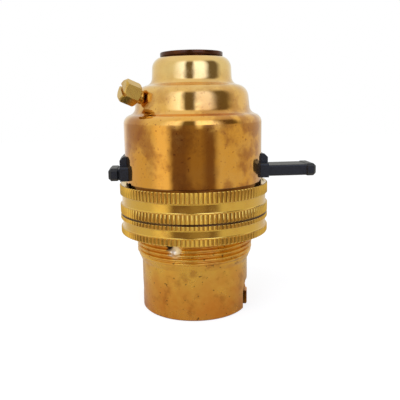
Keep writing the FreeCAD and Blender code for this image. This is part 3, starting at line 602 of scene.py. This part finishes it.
def height_band(tree, place, middle, full_mm, none_mm):
    """1 up to the full distance from a height, falling to 0 at the other distance."""
    height = node(tree, "ShaderNodeSeparateXYZ", {}, {0: place}).outputs["Z"]
    above = node(tree, "ShaderNodeMath", {"operation": "SUBTRACT"}, {0: height, 1: middle}).outputs[0]
    away = node(tree, "ShaderNodeMath", {"operation": "ABSOLUTE"}, {0: above}).outputs[0]
    return node(tree, "ShaderNodeMapRange", {"interpolation_type": "SMOOTHSTEP"}, {
        "Value": away, "From Min": none_mm * MM, "From Max": full_mm * MM}).outputs[0]


# Shares of dirt and of painted shade at radii in mm. On the rings, dirt lies in the bore and at the feet of
# the teeth, and the coves are clean. In the joint, painted shade lies from the groove outwards. In the barrel,
# painted shade covers the bore and none of the outside.
TOOTH_DIRT = ((13.0, 0.6), (17.13, 0.0), (17.22, 0.38), (17.34, 0.22), (17.44, 0.0))
JOINT_SHADE = ((16.6, 0.0), (16.95, 0.9))
INNER_SHADE = ((11.0, 1.0), (11.6, 0.97), (12.4, 0.2), (12.7, 0.0))


def knurled_brass(finish):
    """Free-cutting brass rod, turned and knurled with a wheel. Yellow and a little less glossy than the dome,
    with brown dirt between the teeth and a dark line of painted shade in the joint between the rings."""
    tree, shader, place = new_material("brass_knurled", finish.knurled, 1.0, 0.2, 0.5)
    clouds = blotches(tree, place, 4.0, 0.45, 0.75)
    dirt = radius_share(tree, place, TOOTH_DIRT)
    # Painted shade: a dark line where the gap between the two rings lies in shade.
    joint = height_band(tree, place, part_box("shade_ring")[1].z - 0.1 * MM, 0.18, 0.32)
    tint = laid(tree, finish.knurled, finish.worn_stain, clouds, 0.3)
    tint = laid(tree, tint, finish.tarnish, dirt)
    tint = laid(tree, tint, finish.dark, joint, radius_share(tree, place, JOINT_SHADE))
    tree.links.new(tint, shader.inputs["Base Color"])
    roughened(tree, shader, clouds, 0.16, 0.30)
    grain = node(tree, "ShaderNodeTexNoise", {}, {"Vector": place, "Scale": per_mm(0.4), "Detail": 3.0})
    bumped(tree, shader, grain.outputs[0], 0.006)


# Painted highlight and painted shadow at the punched dimple: turn from its middle in degrees, rise over it in
# mm, and the distances in mm to which the mark is full and to which it reaches.
DIMPLE_HIGHLIGHT = (0.0, -0.3, 1.0, 2.0)
DIMPLE_EDGE_SHADOW = (-4.5, 0.65, 0.7, 1.25)


def worn_brass(finish, threads):
    """Drawn brass tube without much lacquer left. Satin, mottled, more orange towards the rim where it is
    handled, with small dark specks, painted black shade inside, a painted highlight in the punched dimple,
    and a painted shadow at the dimple's upper edge."""
    tree, shader, place = new_material("brass_barrel", finish.worn, 1.0, 0.34, 0.25)
    height = node(tree, "ShaderNodeSeparateXYZ", {}, {0: place}).outputs["Z"]
    least, most = threads.handled_h
    low = node(tree, "ShaderNodeMapRange", {}, {
        "Value": height, "From Min": least, "From Max": most, "To Min": 0.1, "To Max": 0.65}).outputs[0]
    mottle = blotches(tree, place, 5.0, 0.36, 0.68, 6.0)
    handled = node(tree, "ShaderNodeMath", {"operation": "MULTIPLY_ADD"}, {
        0: mottle, 1: 0.4, 2: low}).outputs[0]
    clouds = blotches(tree, place, 3.0, 0.50, 0.72, 5.0)
    specks = blotches(tree, place, 0.9, 0.68, 0.76, 1.0)
    tint = laid(tree, finish.worn, finish.worn_stain, handled)
    tint = laid(tree, tint, finish.tarnish, clouds, 0.45)
    tint = laid(tree, tint, finish.dark, specks, 0.7)
    # Painted shade: the bore of the barrel is black.
    tint = laid(tree, tint, finish.painted_shade, radius_share(tree, place, INNER_SHADE))
    # Painted highlight over the dimple, then painted shadow at its upper edge.
    for (degrees, rise, full, none), shade in ((DIMPLE_HIGHLIGHT, finish.dimple_highlight), (DIMPLE_EDGE_SHADOW, finish.painted_shade)):
        angle = threads.dimple_angle + math.radians(degrees)
        middle = (threads.crest_r * math.cos(angle), threads.crest_r * math.sin(angle),
                  threads.dimple_z + rise * MM)
        tint = laid(tree, tint, shade, near(tree, place, middle, full * MM, none * MM))
    tree.links.new(tint, shader.inputs["Base Color"])
    roughened(tree, shader, mottle, 0.26, 0.40)
    grain = node(tree, "ShaderNodeTexNoise", {}, {"Vector": place, "Scale": per_mm(0.5), "Detail": 4.0})
    bumped(tree, shader, grain.outputs[0], 0.012)


def small_brass(finish, name, base, roughness, patch_mm):
    """Turned or rolled brass of the small parts. Bright gold, or dark on the cord entry, with a little
    browning."""
    tree, shader, place = new_material(name, base, 1.0, roughness, 0.2)
    clouds = blotches(tree, place, patch_mm, 0.45, 0.75)
    tree.links.new(laid(tree, base, finish.tarnish, clouds, 0.3), shader.inputs["Base Color"])
    roughened(tree, shader, clouds, roughness, roughness + 0.15)


def moulding(name, base, roughness, grain_mm):
    """Compression moulded phenolic. Dull gloss over a very fine, slightly paler grain from the wood flour in
    it, which is drawn coarser than the real one, so that it shows."""
    tree, shader, place = new_material(name, base, 0.0, roughness)
    noise = node(tree, "ShaderNodeTexNoise", {}, {"Vector": place, "Scale": per_mm(grain_mm), "Detail": 3.0})
    grain = noise.outputs[0]
    paler = tuple(min(1.0, c * 1.5 + 0.004) for c in base)
    tree.links.new(laid(tree, base, paler, grain, 0.5), shader.inputs["Base Color"])
    roughened(tree, shader, grain, roughness - 0.08, roughness + 0.10)
    bumped(tree, shader, grain, 0.02)


def steel(finish, name, base, roughness):
    """Steel, zinc plated or drawn. Grey with a faint cloudiness in its gloss."""
    tree, shader, place = new_material(name, base, 1.0, roughness)
    clouds = blotches(tree, place, 1.5, 0.35, 0.70)
    tree.links.new(laid(tree, base, finish.dull_steel, clouds, 0.35), shader.inputs["Base Color"])
    roughened(tree, shader, clouds, roughness, roughness + 0.15)


class LAMP_OT_finishes(bpy.types.Operator):
    """Finishes of every slot, put on the pieces that keep their construction mesh"""
    bl_idname = "lamp_holder.finishes"
    bl_label = "Finishes"

    def execute(self, context):
        finish = context.scene.lamp_finishes
        spun_brass(finish, context.scene.lamp_dome)
        knurled_brass(finish)
        worn_brass(finish, context.scene.lamp_threads)
        small_brass(finish, "brass_turned", finish.turned, 0.22, 2.0)
        small_brass(finish, "brass_strip", finish.strip, 0.30, 3.0)
        small_brass(finish, "brass_dark", finish.dark, 0.34, 3.0)
        moulding("black_moulding", finish.black, 0.42, 0.25)
        moulding("brown_moulding", finish.brown, 0.50, 0.30)
        steel(finish, "steel_plated", finish.steel, 0.30)
        steel(finish, "spring_steel", finish.spring, 0.25)
        slots = {part["node"]: part["material_slot"] for part in frame["record"]["subparts"]}
        for name, made in frame["nodes"].items():
            made.data.materials.clear()
            made.data.materials.append(bpy.data.materials[slots[name]])
        return {"FINISHED"}


# The room that the brass mirrors: which colour stands at each turn from the camera's front, in degrees.
# Below the horizon: white behind the holder, a pale wall, a lit table to the left, and the dark of the camera
# and its operator.
WHITE, WALL, TABLE, OPERATOR, CAMERA = "#FFFFFF", "#D6CEC0", "#FFF2D8", "#765E54", "#98846C"
ROOM_LOW = ((-180, WHITE), (-130, WALL), (-72, WALL), (-58, TABLE), (-44, TABLE), (-33, OPERATOR),
            (-14, OPERATOR), (0, CAMERA), (12, CAMERA), (23, OPERATOR), (32, OPERATOR), (44, WALL))
# Above it: a grey wall, two cool windows with a dark frame between them, and a dark curtain to their right.
UPPER_WALL, WINDOW, FRAME = "#90908C", "#BECAF2", "#443E34"
ROOM_HIGH = ((-180, UPPER_WALL), (-55, UPPER_WALL), (-25, WINDOW), (-14, FRAME), (1, FRAME), (10, WINDOW),
             (36, WINDOW), (52, FRAME), (74, FRAME), (92, UPPER_WALL))
# The sines of the heights over which the ground gives way to the room, its lower part to its upper part, and
# that to the ceiling.
GROUND_EDGE, HORIZON, CEILING_EDGE = (-0.36, -0.27), (-0.03, 0.08), (0.55, 0.9)
GROUND, CEILING, PAPER = linear("#BCB6A6"), grey(0.9), linear("#CEC8BA")


class LAMP_OT_studio(bpy.types.Operator):
    """Pale floor, soft lamp, the room that the brass mirrors, and the camera"""
    bl_idname = "lamp_holder.studio"
    bl_label = "Studio"

    def execute(self, context):
        studio = context.scene.lamp_studio
        front = Vector((math.sin(studio.camera_azimuth), -math.cos(studio.camera_azimuth), 0.0))
        right = Vector((math.cos(studio.camera_azimuth), math.sin(studio.camera_azimuth), 0.0))
        self.room(context, front, right, studio)
        self.floor(context, studio)
        self.mirrored_floor(context, studio)
        self.lamp(context, front, right, studio)
        self.camera(context, front, right, studio)
        context.scene.view_settings.view_transform = "Standard"
        return {"FINISHED"}

    def room(self, context, front, right, studio):
        """World whose colour depends on a direction's turn and height, and which is white to the camera."""
        world = bpy.data.worlds.new("pale_room")
        context.scene.world = world
        world.use_nodes = True
        tree = world.node_tree
        tree.nodes.clear()
        ray = node(tree, "ShaderNodeTexCoord").outputs["Generated"]
        ahead, across, up = [node(tree, "ShaderNodeVectorMath", {"operation": "DOT_PRODUCT"}, {
            0: ray, 1: axis}).outputs["Value"] for axis in (front, right, (0.0, 0.0, 1.0))]
        turn = node(tree, "ShaderNodeMath", {"operation": "ARCTAN2"}, {0: across, 1: ahead}).outputs[0]
        share = node(tree, "ShaderNodeMapRange", {}, {
            "Value": turn, "From Min": -math.pi, "From Max": math.pi}).outputs[0]
        lower, upper = [node(tree, "ShaderNodeValToRGB", {}, {"Fac": share},
                             [(degrees / 360 + 0.5, linear(shade)) for degrees, shade in stops]).outputs[0]
                        for stops in (ROOM_LOW, ROOM_HIGH)]
        over_ground, over_horizon, in_ceiling = [
            node(tree, "ShaderNodeMapRange", {"interpolation_type": "SMOOTHSTEP"}, {
                "Value": up, "From Min": low, "From Max": high}).outputs[0]
            for low, high in (GROUND_EDGE, HORIZON, CEILING_EDGE)]
        bright = node(tree, "ShaderNodeVectorMath", {"operation": "SCALE"}, {
            0: upper, "Scale": studio.window_gain}).outputs[0]
        shade = laid(tree, GROUND, lower, over_ground)
        shade = laid(tree, shade, bright, over_horizon)
        shade = laid(tree, shade, CEILING, in_ceiling)
        seen = node(tree, "ShaderNodeLightPath").outputs["Is Camera Ray"]
        room_light, white = [node(tree, "ShaderNodeBackground", {}, {"Color": light}).outputs[0]
                             for light in (shade, opaque(grey(1.0)))]
        surface = node(tree, "ShaderNodeMixShader", {}, {0: seen, 1: room_light, 2: white}).outputs[0]
        node(tree, "ShaderNodeOutputWorld", {}, {"Surface": surface})

    def sheet(self, context, name, rim, height, paper):
        """Flat piece of the stage with the given rim. Returns it and the empty tree of its material."""
        mesh = bpy.data.meshes.new(name)
        mesh.from_pydata(rim, [], [tuple(range(len(rim)))])
        made = bpy.data.objects.new(name, mesh)
        context.scene.collection.objects.link(made)
        made.location.z = height
        material = bpy.data.materials.new(paper)
        material.use_nodes = True
        material.node_tree.nodes.clear()
        mesh.materials.append(material)
        return made, material.node_tree

    def floor(self, context, studio):
        """White floor that keeps the holder's soft shadow: most of what the camera sees of it is its own
        white, and the rest is lit."""
        half = studio.floor_half
        rim = [(-half, -half, 0), (half, -half, 0), (half, half, 0), (-half, half, 0)]
        floor, tree = self.sheet(context, "floor", rim, -0.05 * MM, "white_paper")
        floor.visible_glossy = False
        lit, plain = [node(tree, "ShaderNodeBsdfDiffuse", {}, {"Color": opaque(grey(paleness))}).outputs[0]
                      for paleness in (studio.floor_lit, studio.floor_paleness)]
        glow = node(tree, "ShaderNodeEmission", {}, {
            "Color": opaque(grey(1.0)), "Strength": studio.floor_glow}).outputs[0]
        seen = node(tree, "ShaderNodeAddShader", {}, {0: lit, 1: glow}).outputs[0]
        path = node(tree, "ShaderNodeLightPath").outputs["Is Camera Ray"]
        both = node(tree, "ShaderNodeMixShader", {}, {0: path, 1: plain, 2: seen}).outputs[0]
        node(tree, "ShaderNodeOutputMaterial", {}, {"Surface": both})

    def mirrored_floor(self, context, studio):
        """Round of the same paper for the brass to mirror, shaded by the holder that stands on it."""
        rim = turned_grid([studio.mirrored_r], [0.0], circle(96))[0].tolist()
        disc, tree = self.sheet(context, "mirrored_floor", rim, -0.04 * MM, "mirrored_paper")
        for ray in ("camera", "diffuse", "transmission", "shadow"):
            setattr(disc, "visible_" + ray, False)
        paper = node(tree, "ShaderNodeBsdfDiffuse", {}, {"Color": opaque(PAPER)}).outputs[0]
        node(tree, "ShaderNodeOutputMaterial", {}, {"Surface": paper})

    def lamp(self, context, front, right, studio):
        """Wide soft lamp above and before the holder, which the brass doesn't mirror."""
        light = bpy.data.lights.new("soft_lamp", "AREA")
        light.energy = studio.lamp_power
        light.size = studio.lamp_size
        lamp = bpy.data.objects.new("soft_lamp", light)
        context.scene.collection.objects.link(lamp)
        before, left, above = studio.lamp_place
        place = front * before - right * left + Vector((0.0, 0.0, above))
        lamp.location = place
        lamp.rotation_mode = "QUATERNION"
        lamp.rotation_quaternion = (Vector((0.0, 0.0, studio.lamp_aim)) - place).to_track_quat("-Z", "Y")
        lamp.visible_glossy = False

    def camera(self, context, front, right, studio):
        """Camera at the measured distance, height, pitch and roll."""
        lens = bpy.data.cameras.new("camera")
        lens.sensor_width = 36.0
        lens.lens = studio.focal_px / IMAGE_SIZE * lens.sensor_width
        lens.shift_x = studio.axis_px / IMAGE_SIZE
        lens.clip_start, lens.clip_end = 0.005, 10.0
        camera = bpy.data.objects.new("camera", lens)
        context.scene.collection.objects.link(camera)
        camera.location = front * studio.camera_distance + Vector((0.0, 0.0, studio.camera_height))
        aim = -front * math.cos(studio.camera_pitch) - Vector((0.0, 0.0, math.sin(studio.camera_pitch)))
        camera.rotation_mode = "QUATERNION"
        roll = Quaternion((0.0, 0.0, 1.0), -studio.camera_roll)
        camera.rotation_quaternion = aim.to_track_quat("-Z", "Y") @ roll
        context.scene.camera = camera


OPERATORS = (LAMP_OT_finishes, LAMP_OT_dome, LAMP_OT_rings, LAMP_OT_threads, LAMP_OT_springs, LAMP_OT_studio)


class LAMP_PT_panel(bpy.types.Panel):
    """Sizes, colours and steps of the lamp holder"""
    bl_idname = "LAMP_PT_panel"
    bl_label = "Lamp Holder"
    bl_space_type = "VIEW_3D"
    bl_region_type = "UI"
    bl_category = "Lamp Holder"

    def draw(self, context):
        for group in GROUPS:
            box = self.layout.box()
            for name in GROUPS[group].__annotations__:
                box.prop(getattr(context.scene, group), name)
        for operator in OPERATORS:
            self.layout.operator(operator.bl_idname)


GROUPS = {"lamp_dome": DomeSizes, "lamp_rings": RingSizes, "lamp_threads": ThreadSizes,
          "lamp_finishes": FinishColours, "lamp_studio": StudioSizes}
CLASSES = (*GROUPS.values(), *OPERATORS, LAMP_PT_panel)


def register():
    for kind in CLASSES:
        bpy.utils.register_class(kind)
    for name, kind in GROUPS.items():
        setattr(bpy.types.Scene, name, PointerProperty(type=kind))


def unregister():
    for name in GROUPS:
        delattr(bpy.types.Scene, name)
    for kind in reversed(CLASSES):
        bpy.utils.unregister_class(kind)


def main():
    register()
    bpy.ops.lamp_holder.finishes()
    bpy.ops.lamp_holder.dome()
    bpy.ops.lamp_holder.rings()
    bpy.ops.lamp_holder.threads()
    bpy.ops.lamp_holder.springs()
    bpy.ops.lamp_holder.studio()


if __name__ == "__main__":
    main()
